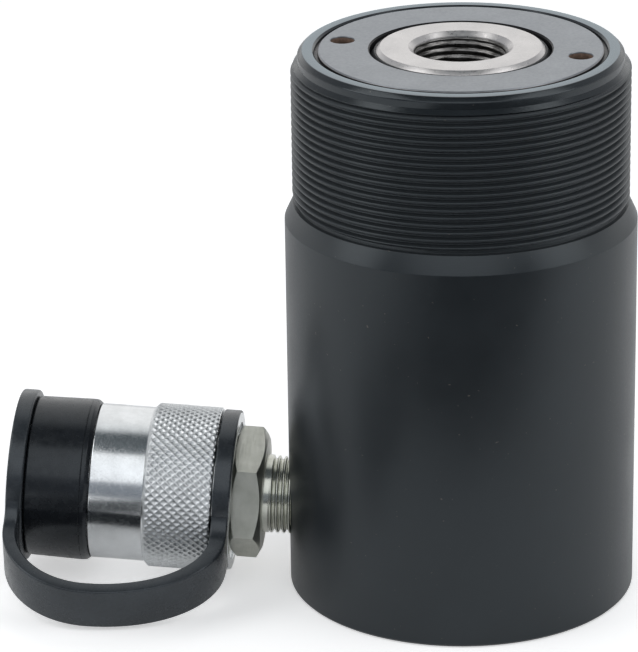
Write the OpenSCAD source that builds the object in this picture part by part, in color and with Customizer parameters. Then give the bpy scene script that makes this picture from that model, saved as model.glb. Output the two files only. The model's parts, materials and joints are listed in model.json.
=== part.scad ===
// Hollow plunger cylinder: a single acting, spring return hydraulic cylinder with a
// through hole, a threaded collar and a screw coupler closed by a dust cap on a strap.
// The base stands on z = 0, the plunger axis is Z and the coupler points to -X.

/* [Barrel] */
// Outside diameter of the barrel
barrel_d = 73.2; // [72:0.1:90]
// Diameter of the cylinder bore
bore_d = 54; // [48:0.5:56]
// Height of the chamber floor above the base face
base_t = 20; // [18:0.5:30]
// Chamfer round the bottom edge of the barrel
base_chamfer = 0.6; // [0.2:0.1:2]
// Working stroke of the plunger
stroke = 42; // [20:1:150]

/* [Collar] */
// Major diameter of the collar thread
collar_d = 69.85; // [68:0.05:71]
// Length of the collar thread
collar_l = 27.9; // [15:0.1:32]
// Pitch of the collar thread
collar_pitch = 1.5875; // [1.25:0.0125:2.5]
// Height of the lead-in chamfer above the thread
collar_lead = 0.8; // [0.5:0.1:3]
// Diameter of the plain rim above the thread
rim_d = 67; // [66:0.1:67.8]
// Height of the plain rim
rim_l = 2.4; // [2:0.1:6]
// Chamfer at the top edge of the rim
rim_chamfer = 0.55; // [0.2:0.05:1]
// Diameter of the thread relief under the collar
relief_d = 67.9; // [66:0.1:68]
// Height of the thread relief
relief_l = 1.4; // [1:0.1:5]
// Diameter at the top of the sloping shoulder
shoulder_d = 69.7; // [69:0.1:71]
// Height of the sloping shoulder
shoulder_l = 3.7; // [1:0.1:6]

/* [Base mounting holes] */
// Number of tapped holes in the base
base_hole_n = 2; // [2:1:4]
// Pitch circle diameter of the base holes
base_pcd = 50.8; // [44:0.1:60]
// Core diameter of the tapped base holes
base_hole_d = 6.8; // [5:0.1:9]
// Depth of the base holes
base_hole_l = 11; // [6:0.5:14]

/* [Centre tube] */
// Outside diameter of the centre tube
tube_od = 25.4; // [24:0.1:27]
// Diameter of the through hole
tube_id = 19.6; // [16:0.1:21]
// Diameter of the threaded foot of the tube
foot_d = 29; // [28:0.1:34]
// Length of the threaded foot
foot_l = 10.5; // [6:0.5:12]
// How far the foot sits inside the base face
foot_recess = 0.8; // [0:0.1:2]
// Space between the top of the tube and the plunger crown
tube_gap = 3; // [1:0.5:8]
// Wire thickness of the tube O-ring
tube_oring_w = 1.9; // [1.5:0.1:2.4]

/* [Plunger] */
// Outside diameter of the plunger
plunger_d = 34.8; // [33:0.1:37]
// How far the plunger stands proud of the rim when retracted
plunger_proud = 0.4; // [0:0.1:3]
// Core diameter of the thread in the plunger
crown_thread_d = 18.4; // [15:0.1:19]
// Depth of the thread in the plunger
crown_thread_l = 18; // [10:0.5:24]
// Mouth diameter of the thread countersink
crown_mouth_d = 21; // [20:0.1:24]
// Edge chamfer of the plunger crown
crown_chamfer = 0.8; // [0.2:0.1:1.5]
// Height of the reduced foot under the piston head
spigot_l = 4; // [2:0.5:8]
// Diameter of the reduced foot
spigot_d = 48; // [44:0.5:50]
// Height of the piston head
head_l = 16; // [15.5:0.5:24]

/* [Seals] */
// Radial section of the piston seal
piston_seal_w = 4.4; // [3:0.1:5]
// Radial section of the seal on the centre tube
bore_seal_w = 3.4; // [2.5:0.1:4]
// Height of the lip seals
seal_l = 5; // [4:0.1:5.5]
// Height of the backup rings
backup_l = 1; // [0.8:0.1:1.4]
// Height of the wear bands
band_l = 4; // [3:0.1:4.5]
// Radial section of the wear bands
band_w = 1.5; // [1:0.1:2]
// Radial section of the plunger wiper
wiper_w = 1.3; // [1:0.1:2]
// Height of the plunger wiper
wiper_l = 5; // [3:0.1:6]

/* [Gland nut] */
// Radial step from the cylinder bore to the gland thread
gland_step = 3; // [2:0.1:4]
// Length of the gland thread
gland_l = 16; // [12:0.5:20]
// Wall of the stop skirt that limits the stroke
skirt_t = 2; // [1.5:0.1:3]
// Pitch circle diameter of the spanner holes
spanner_pcd = 50; // [46:0.5:52]
// Diameter of the spanner holes
spanner_d = 5; // [4:0.1:6]
// Depth of the spanner holes
spanner_l = 7; // [4:0.5:9]
// Turn of the spanner holes about the axis
spanner_turn = -10; // [-90:1:90]

/* [Return spring] */
// Wire diameter of the return spring
spring_wire = 3.6; // [2.5:0.1:4]
// Number of turns of the return spring
spring_turns = 5; // [4:0.5:8]
// Free space beside the closed spring at full stroke
spring_margin = 2; // [1:0.5:6]

/* [Coupler] */
// Height of the coupler axis at the barrel wall
port_z = 17.5; // [16:0.1:24]
// Upward tilt of the coupler
coupler_tilt = 3.5; // [0:0.5:6]
// Diameter of the taper thread at the hex
nipple_d = 16.8; // [16:0.1:18]
// Free length of the nipple outside the barrel
nipple_free = 5.3; // [4:0.1:12]
// Steel left between the nipple's port and the cylinder bore
port_wall = 1.2; // [1:0.1:2.5]
// Width across the flats of the hex
hex_af = 25; // [23.5:0.1:27]
// Length of the hex
hex_l = 6.7; // [3:0.1:12]
// How far the hex reaches into the rear of the sleeve
hex_recess = 0.5; // [0:0.1:0.5]
// Turn of the hex about the coupler axis
hex_turn = 10; // [0:1:59]
// Diameter of the neck that carries the sleeve
neck_d = 21.6; // [21:0.1:23]
// Diameter of the nose inside the sleeve
nose_d = 19.2; // [18:0.1:19.6]
// Length of the nose from the snap ring to its face
nose_l = 20; // [18:0.1:21]
// Diameter of the valve chamber
chamber_d = 12; // [11.5:0.1:13]
// Diameter of the oil passage
passage_d = 6; // [4:0.1:7]

/* [Sleeve] */
// Diameter of the knurled grip
grip_d = 35.1; // [34:0.1:40]
// Length of the knurled grip
grip_l = 14.2; // [8:0.1:24]
// Edge chamfer of the grip
grip_chamfer = 0.9; // [0.3:0.1:1.5]
// Diameter of the rear flange
flange_d = 33.7; // [33.5:0.1:40]
// Thickness of the rear flange
flange_t = 1.25; // [0.8:0.05:3]
// Diameter of the strap groove behind the grip
groove_d = 29.2; // [28:0.1:30]
// Diameter of the smooth front of the sleeve
front_d = 33.1; // [32:0.1:33.6]
// Length of the smooth front
front_l = 10.5; // [5:0.1:20]
// Diameter of the spigot that the cap covers
cap_spigot_d = 29.8; // [29:0.1:30.4]
// Length of that spigot
cap_spigot_l = 11.3; // [8:0.1:16]
// Core diameter of the thread inside the sleeve
socket_d = 25.2; // [25:0.1:26]
// Length of the web that turns on the neck
web_l = 10; // [6:0.1:11]

/* [Check valve] */
// Diameter of the check ball
ball_d = 9.5; // [9:0.1:10.5]
// Opening stroke of the check ball
ball_stroke = 3; // [1:0.1:3.5]
// Diameter of the hole in the valve seat
seat_hole_d = 6.8; // [6:0.1:7.4]
// Length of the valve seat insert
seat_l = 5; // [4:0.1:6]
// Wire diameter of the check spring
check_wire = 0.9; // [0.6:0.1:1.1]
// Number of turns of the check spring
check_turns = 5; // [4:0.5:6]
// Length of the check spring
check_l = 12; // [10:0.1:14]
// Thickness of the spring retainer
retainer_t = 2; // [1:0.1:3]
// Wire thickness of the nose O-ring
nose_oring_w = 1.9; // [1.5:0.1:2]
// Thickness of the snap ring
snap_t = 1.5; // [1:0.1:2]
// Radial section of the snap ring
snap_w = 2; // [1.2:0.1:2.1]

/* [Dust cap and strap] */
// How far the rim of the cap lies inside the grip's surface
cap_step = 0.25; // [0:0.05:0.6]
// Narrowing of the cap towards its closed end
cap_draft = 0.5; // [0:0.1:1.5]
// Thickness of the closed end
cap_end_t = 2.9; // [2.4:0.1:5]
// Edge chamfer of the cap
cap_chamfer = 0.8; // [0.3:0.1:1.2]
// Diameter of the strap plate on the cap
plate_d = 36.6; // [34:0.1:42]
// Thickness of the strap plate
plate_t = 3.5; // [3.4:0.1:5]
// Outside diameter of the strap eyelet
eyelet_d = 34.5; // [33:0.1:40]
// Thickness of the strap band
strap_t = 2.8; // [2:0.1:3]
// Width of the strap band
strap_w = 10.7; // [6:0.1:14]
// Reach of the strap loop from the coupler axis
strap_reach = 37.8; // [30:0.1:50]
// Lean of the loop from straight down towards the front
strap_lean = 68; // [68:1:110]
// Head diameter of the strap button
button_d = 16; // [12:0.1:20]
// Head thickness of the strap button
button_t = 1.5; // [1:0.1:1.6]
// Stem diameter of the strap button
stem_d = 8; // [5:0.1:10]

/* [Clearances] */
// Radial clearance of a running fit
run_c = 0.05; // [0.02:0.01:0.1]
// Radial clearance of a screwed or pressed seat
seat_c = 0.05; // [0.02:0.01:0.1]
// Clearance between soft or loose pieces
loose_c = 0.3; // [0.2:0.05:0.4]
// End float of the strap eyelet on each side
float_c = 0.15; // [0.1:0.05:0.3]

/* [Hidden] */
$fn = 96;
// Overrun of a cut past the face that it opens
cut = 1;

// Barrel heights
barrel_r = barrel_d / 2;
bore_r = bore_d / 2;
head_z = base_t + spigot_l;
head_top = head_z + head_l;
skirt_z = head_top + stroke + loose_c;
gland_z = head_top + stroke + spring_wire * spring_turns + spring_margin;
barrel_h = gland_z + gland_l;
rim_z = barrel_h - rim_l;
lead_z = rim_z - collar_lead;
thread_z = lead_z - collar_l;
relief_z = thread_z - relief_l;
shoulder_z = relief_z - shoulder_l;
gland_r = bore_r + gland_step;

// Plunger and centre tube
tube_r = tube_od / 2;
plunger_r = plunger_d / 2;
plunger_top = barrel_h + plunger_proud;
crown_z = plunger_top - crown_thread_l;
tube_top = crown_z - tube_gap;
plunger_bore_r = tube_r + run_c;
head_r = bore_r - 2 * run_c;
foot_r = foot_d / 2;
foot_top = foot_recess + foot_l;
// Solid ring left between two seal grooves
land = 2;
seal_z = head_z + land;
backup_z = seal_z + seal_l;
groove_top = backup_z + backup_l;
band_z = groove_top + land;
// Lip thickness of the lip seals at their tips
lip_t = 0.6;
// Depth of the V between the lips as a share of the seal's height
lip_depth = 0.55;
// Height of the O-ring groove in the base
tube_oring_z = (foot_top + base_t) / 2;
// Extra length of an O-ring groove over the ring
groove_slack = 0.5;
// Space between the oil drilling and the cylinder wall
oil_edge = 1;
// Broken edges of the turned sleeve
broken_edge = 0.3;
// Step from the flats of the hex to the circle of its turned face
hex_step = 0.6;

// Gland and spring
wiper_z = barrel_h - wiper_l - plunger_proud;
skirt_r = bore_r - run_c;
spring_r = (plunger_r + skirt_r - skirt_t) / 2;

// Coupler positions along its own axis, from the barrel wall outwards
taper = 1 / 32;
// Length of the nipple inside the barrel
nipple_in = barrel_r - bore_r - port_wall;
hex_u = nipple_free;
hex_end = hex_u + hex_l;
sleeve_u = hex_end - hex_recess;
groove_u = sleeve_u + flange_t;
grip_u = groove_u + strap_t + 2 * float_c;
front_u = grip_u + grip_l;
spigot_u = front_u + front_l;
sleeve_end = spigot_u + cap_spigot_l;
snap_u = sleeve_u + web_l + float_c;
nose_u = snap_u + snap_t + land;
nose_end = snap_u + nose_l;
seat_u = nose_end - seat_l - seat_c;
// Depth of the seat cone, which ends in the edge that the ball closes
seat_cone = 1.5;
seat_edge_u = seat_u + seat_cone;
ball_r = ball_d / 2;
ball_reach = sqrt(ball_r * ball_r - seat_hole_d * seat_hole_d / 4);
ball_u = seat_edge_u - ball_reach - run_c;
check_r = seat_hole_d / 2;
// Spring front: it leans on the back of the ball
check_end = ball_u - ball_reach - loose_c;
retainer_u = check_end - check_l - retainer_t;
cap_d = grip_d - 2 * cap_step;
cap_u = spigot_u + loose_c + float_c;
cap_floor = sleeve_end + loose_c + float_c;
cap_end = cap_floor + cap_end_t;
plate_u = cap_end + float_c;
plate_end = plate_u + plate_t;
// Step between the strap band and the faces of the eyelet and the plate
strap_step = 0.25;
eyelet_t = strap_t - 2 * strap_step;
eyelet_u = groove_u + float_c + strap_step;
loop_u = groove_u + float_c;
loop_end = plate_end - strap_step;
loop_start = max(grip_d, cap_d) / 2 + 2 * loose_c;
loop_span = loop_end - loop_u;
bend_r = min(strap_reach - loop_start, loop_span / 2);
cap_bore_r = cap_spigot_d / 2 + loose_c;
button_u = plate_end - button_t - float_c;
// Wall of the cap left under the button's stem
cap_skin = 0.9;
stem_in = cap_end_t - cap_skin;

// Ring with square edges standing on z = 0
module ring(ri, ro, h) {
    difference() {
        cylinder(r = ro, h = h);
        translate([0, 0, -cut]) cylinder(r = ri, h = h + 2 * cut);
    }
}

// Solid of revolution from points given as radius and height
module revolved(points) {
    rotate_extrude() polygon(points);
}

// O-ring of wire w that lies round a shaft of radius r
module o_ring(r, w) {
    rotate_extrude() translate([r + w / 2, 0]) circle(d = w);
}

// Lip seal between two radii, with its lips towards z = 0
module lip_seal(ri, ro, h) {
    mid = (ri + ro) / 2;
    revolved([[ri, 0], [ri + lip_t, 0], [mid, h * lip_depth], [ro - lip_t, 0], [ro, 0],
              [ro, h], [ri, h]]);
}

// Places on the coupler axis: z runs outwards from the barrel wall, x points up
module on_coupler() {
    translate([-barrel_r, 0, port_z]) rotate([0, coupler_tilt - 90, 0]) children();
}

// Wire helix with closed ends, from height z0 to height z1
function helix_z(t, turns, wire, pitch) =
    t < 1 ? wire * t
    : t > turns - 1 ? wire + pitch * (turns - 2) + wire * (t - turns + 1)
    : wire + pitch * (t - 1);
module coil(r, wire, turns, z0, z1, sides, steps) {
    n = round(turns * steps);
    rise = z1 - z0 - wire;
    pitch = (rise - 2 * wire) / (turns - 2);
    points = [for (i = [0:n]) for (k = [0:sides - 1])
        let (t = i * turns / n, a = 360 * t, b = 360 * k / sides, q = r + wire / 2 * cos(b))
        [q * cos(a), q * sin(a), z0 + wire / 2 + helix_z(t, turns, wire, pitch) + wire / 2 * sin(b)]];
    walls = [for (i = [0:n - 1]) for (k = [0:sides - 1])
        let (m = (k + 1) % sides)
        [i * sides + k, (i + 1) * sides + k, (i + 1) * sides + m, i * sides + m]];
    first = [for (k = [0:sides - 1]) k];
    last = [for (k = [sides - 1:-1:0]) n * sides + k];
    polyhedron(points, concat([first, last], walls));
}

// Outline of a thread's crests and grooves between two heights, as plain rings without a lead
function thread_rings(crest_r, root_r, z0, z1, pitch) =
    let (crest = pitch / 8, root = pitch / 4, flank = (pitch - crest - root) / 2,
         turns = floor((z1 - z0 - crest) / pitch))
    concat([for (i = [0:turns - 1]) let (z = z0 + i * pitch)
               each [[crest_r, z], [crest_r, z + crest],
                     [root_r, z + crest + flank], [root_r, z + crest + flank + root]]],
           [[crest_r, z0 + turns * pitch]]);

// Outside of the barrel with rim, collar, relief and shoulder
module barrel_outside() {
    collar_r = collar_d / 2;
    relief_r = relief_d / 2;
    // Height of the slope at the foot of the thread
    edge = relief_l / 2;
    foot = [[0, 0], [barrel_r - base_chamfer, 0], [barrel_r, base_chamfer],
            [barrel_r, shoulder_z], [shoulder_d / 2, relief_z], [relief_r, relief_z],
            [relief_r, thread_z - edge]];
    rim = [[collar_r, lead_z], [rim_d / 2, rim_z], [rim_d / 2, barrel_h - rim_chamfer],
           [rim_d / 2 - rim_chamfer, barrel_h], [0, barrel_h]];
    revolved(concat(foot, thread_rings(collar_r, relief_r, thread_z, lead_z, collar_pitch), rim));
}

// Tapered port for the nipple and the drilling that leads oil up to the chamber floor
module oil_port() {
    oil_d = passage_d * 2 / 3;
    oil_x = bore_r - oil_d / 2 - oil_edge;
    drill_l = barrel_r - oil_x + oil_d / 2;
    on_coupler() {
        translate([0, 0, -nipple_in - seat_c]) nipple_shape(seat_c, nipple_in + nipple_free);
        translate([0, 0, -drill_l]) cylinder(d = oil_d, h = drill_l);
    }
    translate([-oil_x, 0, port_z - (barrel_r - oil_x) * tan(coupler_tilt)])
        cylinder(d = oil_d, h = base_t);
}

// Taper thread envelope, from its small inner end outwards
module nipple_shape(extra, h) {
    end_r = nipple_d / 2 - (nipple_in + nipple_free) * taper + extra;
    cylinder(r1 = end_r, r2 = end_r + h * taper, h = h);
}

module barrel() {
    color("#2b2f33") difference() {
        barrel_outside();
        translate([0, 0, base_t]) cylinder(r = bore_r, h = barrel_h);
        translate([0, 0, gland_z]) cylinder(r = gland_r + seat_c, h = barrel_h);
        translate([0, 0, -cut]) cylinder(r = tube_r + seat_c, h = barrel_h);
        translate([0, 0, -cut]) cylinder(r = foot_r + seat_c, h = cut + foot_top);
        translate([0, 0, tube_oring_z - (tube_oring_w + groove_slack) / 2])
            cylinder(r = tube_r + tube_oring_w + 2 * seat_c, h = tube_oring_w + groove_slack);
        // The holes keep clear of the coupler's side
        for (i = [0:base_hole_n - 1])
            rotate([0, 0, 180 + 180 / base_hole_n + 360 * i / base_hole_n])
                translate([base_pcd / 2, 0, -cut])
                cylinder(d = base_hole_d, h = base_hole_l + cut);
        oil_port();
    }
}

module center_tube() {
    color("#b9bcbe") difference() {
        union() {
            translate([0, 0, foot_recess]) cylinder(r = tube_r, h = tube_top - foot_recess);
            translate([0, 0, foot_recess]) cylinder(r = foot_r, h = foot_l);
        }
        translate([0, 0, -cut]) cylinder(d = tube_id, h = tube_top + 2 * cut);
    }
}

module center_tube_oring() {
    color("#1b1b1b") translate([0, 0, tube_oring_z]) o_ring(tube_r + seat_c, tube_oring_w);
}

module gland_nut() {
    color("#8f979c") difference() {
        union() {
            translate([0, 0, gland_z]) cylinder(r = gland_r, h = gland_l);
            translate([0, 0, skirt_z]) cylinder(r = skirt_r, h = gland_z - skirt_z);
        }
        translate([0, 0, skirt_z - cut]) cylinder(r = skirt_r - skirt_t, h = gland_z - skirt_z + cut);
        translate([0, 0, skirt_z]) cylinder(r = plunger_r + run_c, h = barrel_h);
        translate([0, 0, wiper_z - seat_c]) cylinder(r = plunger_r + wiper_w, h = barrel_h);
        for (i = [0, 1])
            rotate([0, 0, spanner_turn + 180 * i])
                translate([spanner_pcd / 2, 0, barrel_h - spanner_l])
                    cylinder(d = spanner_d, h = spanner_l + cut);
    }
}

module plunger_wiper() {
    lip_r = plunger_r + run_c;
    heel_r = plunger_r + wiper_w - seat_c;
    // The wiping lip narrows to a thin edge at the top
    color("#151515") translate([0, 0, wiper_z])
        revolved([[lip_r + lip_t / 2, 0], [heel_r, 0], [heel_r, wiper_l * 3 / 4],
                  [lip_r + lip_t / 2, wiper_l], [lip_r, wiper_l], [lip_r, wiper_l / 2]]);
}

module return_spring() {
    color("#5a5d60") coil(spring_r, spring_wire, spring_turns, head_top, gland_z, 8, 24);
}

module plunger() {
    inner_r = tube_r + run_c + bore_seal_w;
    color("#cfc8bf") difference() {
        union() {
            translate([0, 0, base_t]) cylinder(d = spigot_d, h = spigot_l);
            translate([0, 0, head_z]) cylinder(r = head_r, h = head_l);
            revolved([[0, head_z], [plunger_r, head_z], [plunger_r, plunger_top - crown_chamfer],
                      [plunger_r - crown_chamfer, plunger_top], [0, plunger_top]]);
        }
        translate([0, 0, base_t - cut]) cylinder(r = plunger_bore_r, h = crown_z - base_t + cut);
        translate([0, 0, base_t]) cylinder(d = crown_thread_d, h = plunger_top);
        translate([0, 0, plunger_top - (crown_mouth_d - crown_thread_d) / 2])
            cylinder(d1 = crown_thread_d, d2 = crown_mouth_d + 2 * cut,
                     h = (crown_mouth_d - crown_thread_d) / 2 + cut);
        translate([0, 0, seal_z]) ring(bore_r - piston_seal_w, bore_r + cut, seal_l + backup_l);
        translate([0, 0, band_z]) ring(bore_r - band_w, bore_r + cut, band_l);
        translate([0, 0, seal_z]) cylinder(r = inner_r, h = seal_l + backup_l);
        translate([0, 0, band_z]) cylinder(r = tube_r + run_c + band_w, h = band_l);
    }
}

module piston_u_cup() {
    color("#1f3b5c") translate([0, 0, seal_z])
        lip_seal(bore_r - piston_seal_w + seat_c, bore_r - run_c, seal_l);
}

module piston_backup_ring() {
    color("#e8e4da") translate([0, 0, backup_z])
        ring(bore_r - piston_seal_w + seat_c, bore_r - run_c, backup_l);
}

module piston_wear_band() {
    color("#7a4a2b") translate([0, 0, band_z]) ring(bore_r - band_w + seat_c, bore_r - run_c, band_l);
}

module bore_u_cup() {
    color("#1f3b5c") translate([0, 0, seal_z])
        lip_seal(tube_r + run_c, tube_r + run_c + bore_seal_w - seat_c, seal_l);
}

module bore_backup_ring() {
    color("#e8e4da") translate([0, 0, backup_z])
        ring(tube_r + run_c, tube_r + run_c + bore_seal_w - seat_c, backup_l);
}

module bore_wear_band() {
    color("#7a4a2b") translate([0, 0, band_z])
        ring(tube_r + run_c, tube_r + run_c + band_w - seat_c, band_l);
}

// Hex prism with both ends turned to a chamfer
module chamfered_hex(af, h) {
    corner_r = af / sqrt(3);
    edge_r = af / 2 - hex_step;
    slope = (corner_r - edge_r) / 2;
    intersection() {
        cylinder(r = corner_r, h = h, $fn = 6);
        revolved([[0, 0], [edge_r, 0], [corner_r, slope], [corner_r, h - slope], [edge_r, h], [0, h]]);
    }
}

module coupler_body() {
    oring_r = nose_d / 2 - nose_oring_w;
    color("#8c8a80") on_coupler() difference() {
        union() {
            translate([0, 0, -nipple_in]) nipple_shape(0, nipple_in + nipple_free);
            translate([0, 0, hex_u]) rotate([0, 0, hex_turn]) chamfered_hex(hex_af, hex_l);
            translate([0, 0, hex_end]) cylinder(d = neck_d, h = nose_u - hex_end);
            translate([0, 0, nose_u]) cylinder(d = nose_d, h = nose_end - nose_u);
        }
        translate([0, 0, -nipple_in - cut]) cylinder(d = passage_d, h = retainer_u + nipple_in + 2 * cut);
        translate([0, 0, retainer_u]) cylinder(d = chamber_d, h = nose_end);
        translate([0, 0, snap_u - seat_c])
            ring(neck_d / 2 - snap_w / 2, neck_d, snap_t + 2 * seat_c);
        translate([0, 0, seat_u - land]) ring(oring_r, nose_d, nose_oring_w + groove_slack);
    }
}

module valve_seat() {
    color("#a8a69c") on_coupler() translate([0, 0, seat_u]) difference() {
        cylinder(r = chamber_d / 2 - seat_c, h = seat_l);
        translate([0, 0, -cut]) cylinder(d = seat_hole_d, h = seat_l + 2 * cut);
        // Seat cone at 45 degrees
        translate([0, 0, -cut])
            cylinder(r1 = seat_hole_d / 2 + seat_edge_u - seat_u + cut, r2 = seat_hole_d / 2,
                     h = seat_edge_u - seat_u + cut);
    }
}

module nose_oring() {
    color("#1b1b1b") on_coupler() translate([0, 0, seat_u - land + (nose_oring_w + groove_slack) / 2])
        o_ring(nose_d / 2 - nose_oring_w + seat_c, nose_oring_w - seat_c);
}

module spring_retainer() {
    slot_n = 3;
    color("#9a8a5c") on_coupler() translate([0, 0, retainer_u]) difference() {
        cylinder(r = chamber_d / 2 - seat_c, h = retainer_t);
        translate([0, 0, -cut]) cylinder(d = passage_d / 3, h = retainer_t + 2 * cut);
        for (i = [0:slot_n - 1])
            rotate([0, 0, 360 * i / slot_n]) translate([passage_d / 3 + land / 4, 0, -cut])
                cylinder(d = passage_d / 4, h = retainer_t + 2 * cut);
    }
}

module check_spring() {
    color("#6a6d70") on_coupler()
        coil(check_r, check_wire, check_turns, retainer_u + retainer_t, check_end, 6, 14);
}

module check_ball() {
    color("#d8d8d8") on_coupler() translate([0, 0, ball_u]) sphere(d = ball_d);
}

// Turned outline of the sleeve, from the rear flange to the cap spigot
module coupler_sleeve() {
    flange_r = flange_d / 2;
    groove_r = groove_d / 2;
    grip_r = grip_d / 2;
    front_r = front_d / 2;
    spigot_r = cap_spigot_d / 2;
    web_r = neck_d / 2 + run_c;
    web_u = sleeve_u + web_l;
    edge = broken_edge;
    // The recess in the rear face clears the corners and the face of the hex
    recess_r = hex_af / sqrt(3) + loose_c;
    recess_u = hex_end + loose_c;
    color("#c9ccce") on_coupler() revolved([
        [web_r, recess_u], [recess_r, recess_u], [recess_r, sleeve_u],
        [flange_r - edge, sleeve_u], [flange_r, sleeve_u + edge],
        [flange_r, groove_u - edge], [flange_r - edge, groove_u], [groove_r, groove_u],
        [groove_r, grip_u], [grip_r - grip_chamfer, grip_u], [grip_r, grip_u + grip_chamfer / 2],
        [grip_r, front_u - grip_chamfer], [grip_r - grip_chamfer, front_u], [front_r, front_u],
        [front_r, spigot_u - edge], [front_r - edge, spigot_u], [spigot_r, spigot_u],
        [spigot_r, sleeve_end - edge], [spigot_r - edge, sleeve_end],
        [socket_d / 2 + edge, sleeve_end], [socket_d / 2, sleeve_end - edge],
        [socket_d / 2, web_u], [web_r, web_u]]);
}

module sleeve_snap_ring() {
    opening = 30;
    inner_r = neck_d / 2 - snap_w / 2 + seat_c;
    color("#4a4d50") on_coupler() translate([0, 0, snap_u]) rotate([0, 0, opening / 2])
        rotate_extrude(angle = 360 - opening) translate([inner_r, 0]) square([snap_w, snap_t]);
}

module dust_cap() {
    rim_r = cap_d / 2;
    end_r = rim_r - cap_draft / 2;
    color("#1c1d1f") on_coupler() difference() {
        revolved([[0, cap_u], [rim_r - cap_chamfer, cap_u], [rim_r, cap_u + cap_chamfer],
                  [end_r, cap_end - cap_chamfer], [end_r - cap_chamfer, cap_end], [0, cap_end]]);
        translate([0, 0, cap_u - cut]) cylinder(r = cap_bore_r, h = cap_floor - cap_u + cut);
        translate([0, 0, cap_end - stem_in]) cylinder(d = stem_d + 2 * seat_c, h = stem_in + cut);
    }
}

// Arch that the strap follows, drawn inset from its outer side: x runs along the coupler,
// y is the distance from its axis
module loop_arch(inset) {
    leg_end = strap_reach - bend_r;
    translate([loop_u + inset, 0]) square([loop_span - 2 * inset, leg_end]);
    translate([loop_u + bend_r, 0]) square([loop_span - 2 * bend_r, strap_reach - inset]);
    for (u = [loop_u, loop_end - 2 * bend_r])
        translate([u + bend_r, leg_end]) circle(r = bend_r - inset);
}

// Outline of the loop, with its legs ending inside the eyelet and the plate
module loop_outline() {
    leg_start = (groove_d + eyelet_d) / 4;
    difference() {
        loop_arch(0);
        loop_arch(strap_t);
        translate([loop_u - cut, leg_start - strap_reach])
            square([loop_span + 2 * cut, strap_reach]);
    }
}

module dust_cap_strap() {
    color("#222427") on_coupler() difference() {
        union() {
            translate([0, 0, eyelet_u]) cylinder(d = eyelet_d, h = eyelet_t);
            translate([0, 0, plate_u]) cylinder(d = plate_d, h = plate_t);
            // The outline stands up from the axis and leans with the loop
            rotate([0, 0, 180 + strap_lean]) rotate([-90, 0, 0]) rotate([0, 0, -90])
                linear_extrude(height = strap_w, center = true) loop_outline();
        }
        translate([0, 0, eyelet_u - cut]) cylinder(d = groove_d + 2 * loose_c, h = eyelet_t + 2 * cut);
        translate([0, 0, plate_u - cut]) cylinder(d = stem_d + 2 * loose_c, h = plate_t + 2 * cut);
        translate([0, 0, button_u - float_c]) cylinder(d = button_d + 2 * loose_c, h = plate_t);
    }
}

module strap_button() {
    color("#1c1d1f") on_coupler() {
        translate([0, 0, cap_end - stem_in]) cylinder(d = stem_d, h = button_u - cap_end + stem_in);
        translate([0, 0, button_u])
            revolved([[0, 0], [button_d / 2, 0], [button_d / 2, button_t / 2],
                      [button_d / 2 - button_t / 2, button_t], [0, button_t]]);
    }
}

barrel();
center_tube();
center_tube_oring();
gland_nut();
plunger_wiper();
return_spring();
plunger();
piston_u_cup();
piston_backup_ring();
piston_wear_band();
bore_u_cup();
bore_backup_ring();
bore_wear_band();
coupler_body();
valve_seat();
nose_oring();
spring_retainer();
check_spring();
check_ball();
coupler_sleeve();
sleeve_snap_ring();
dust_cap();
dust_cap_strap();
strap_button();
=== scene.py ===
# Looks of the hollow plunger cylinder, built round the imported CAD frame.
# Sizes are in millimetres unless a name says otherwise. Blender itself works in metres.
import json
import math

import bmesh
import bpy
import numpy as np
from mathutils import Matrix, Vector


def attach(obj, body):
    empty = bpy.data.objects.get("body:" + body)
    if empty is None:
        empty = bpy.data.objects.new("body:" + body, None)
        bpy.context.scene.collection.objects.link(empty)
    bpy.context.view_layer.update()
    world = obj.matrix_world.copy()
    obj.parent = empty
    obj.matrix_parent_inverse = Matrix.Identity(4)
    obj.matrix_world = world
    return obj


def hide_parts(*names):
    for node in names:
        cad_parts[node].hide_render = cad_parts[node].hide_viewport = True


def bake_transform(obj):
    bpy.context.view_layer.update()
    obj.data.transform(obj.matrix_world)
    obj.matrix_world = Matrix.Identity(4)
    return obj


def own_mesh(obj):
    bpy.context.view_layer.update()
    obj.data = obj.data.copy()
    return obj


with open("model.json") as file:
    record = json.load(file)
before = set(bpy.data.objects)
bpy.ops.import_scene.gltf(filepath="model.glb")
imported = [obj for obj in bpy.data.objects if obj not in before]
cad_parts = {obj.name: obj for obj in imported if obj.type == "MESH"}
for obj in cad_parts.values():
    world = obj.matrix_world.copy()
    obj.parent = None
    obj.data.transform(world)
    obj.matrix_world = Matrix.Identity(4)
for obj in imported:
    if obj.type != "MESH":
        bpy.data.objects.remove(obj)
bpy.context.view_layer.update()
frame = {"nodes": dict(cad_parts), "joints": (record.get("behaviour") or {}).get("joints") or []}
scene = bpy.context.scene
MM = 0.001
FULL_TURN = 2 * math.pi

# Photo camera, as fitted to the rims, walls and coupler
PHOTO_W, PHOTO_H = 638, 652
CAMERA_AT = (42.885, -782.719, 361.886)
CAMERA_PITCH, CAMERA_YAW, CAMERA_ROLL = 21.236, 5.314, -0.846
FOCAL_PX = 4007.3
SENSOR_MM = 36
CLIP_NEAR_M, CLIP_FAR_M = 0.01, 100

# Fineness of the meshes
THREAD_STEPS = 12
BARREL_SIDES, RING_SIDES, BODY_SIDES, CAP_SIDES, PLATE_SIDES = 240, 192, 180, 144, 128
SMALL_SIDES, PORT_SIDES, HOLE_SIDES = 96, 64, 48
COIL_STEPS, WIRE_SIDES = 40, 16
WELD_M = 1e-7
# Margin that keeps a cut off the rows at its ends, and overlap of a cutter past what it cuts
MARGIN, OVERLAP = 0.01, 1.0

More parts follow.
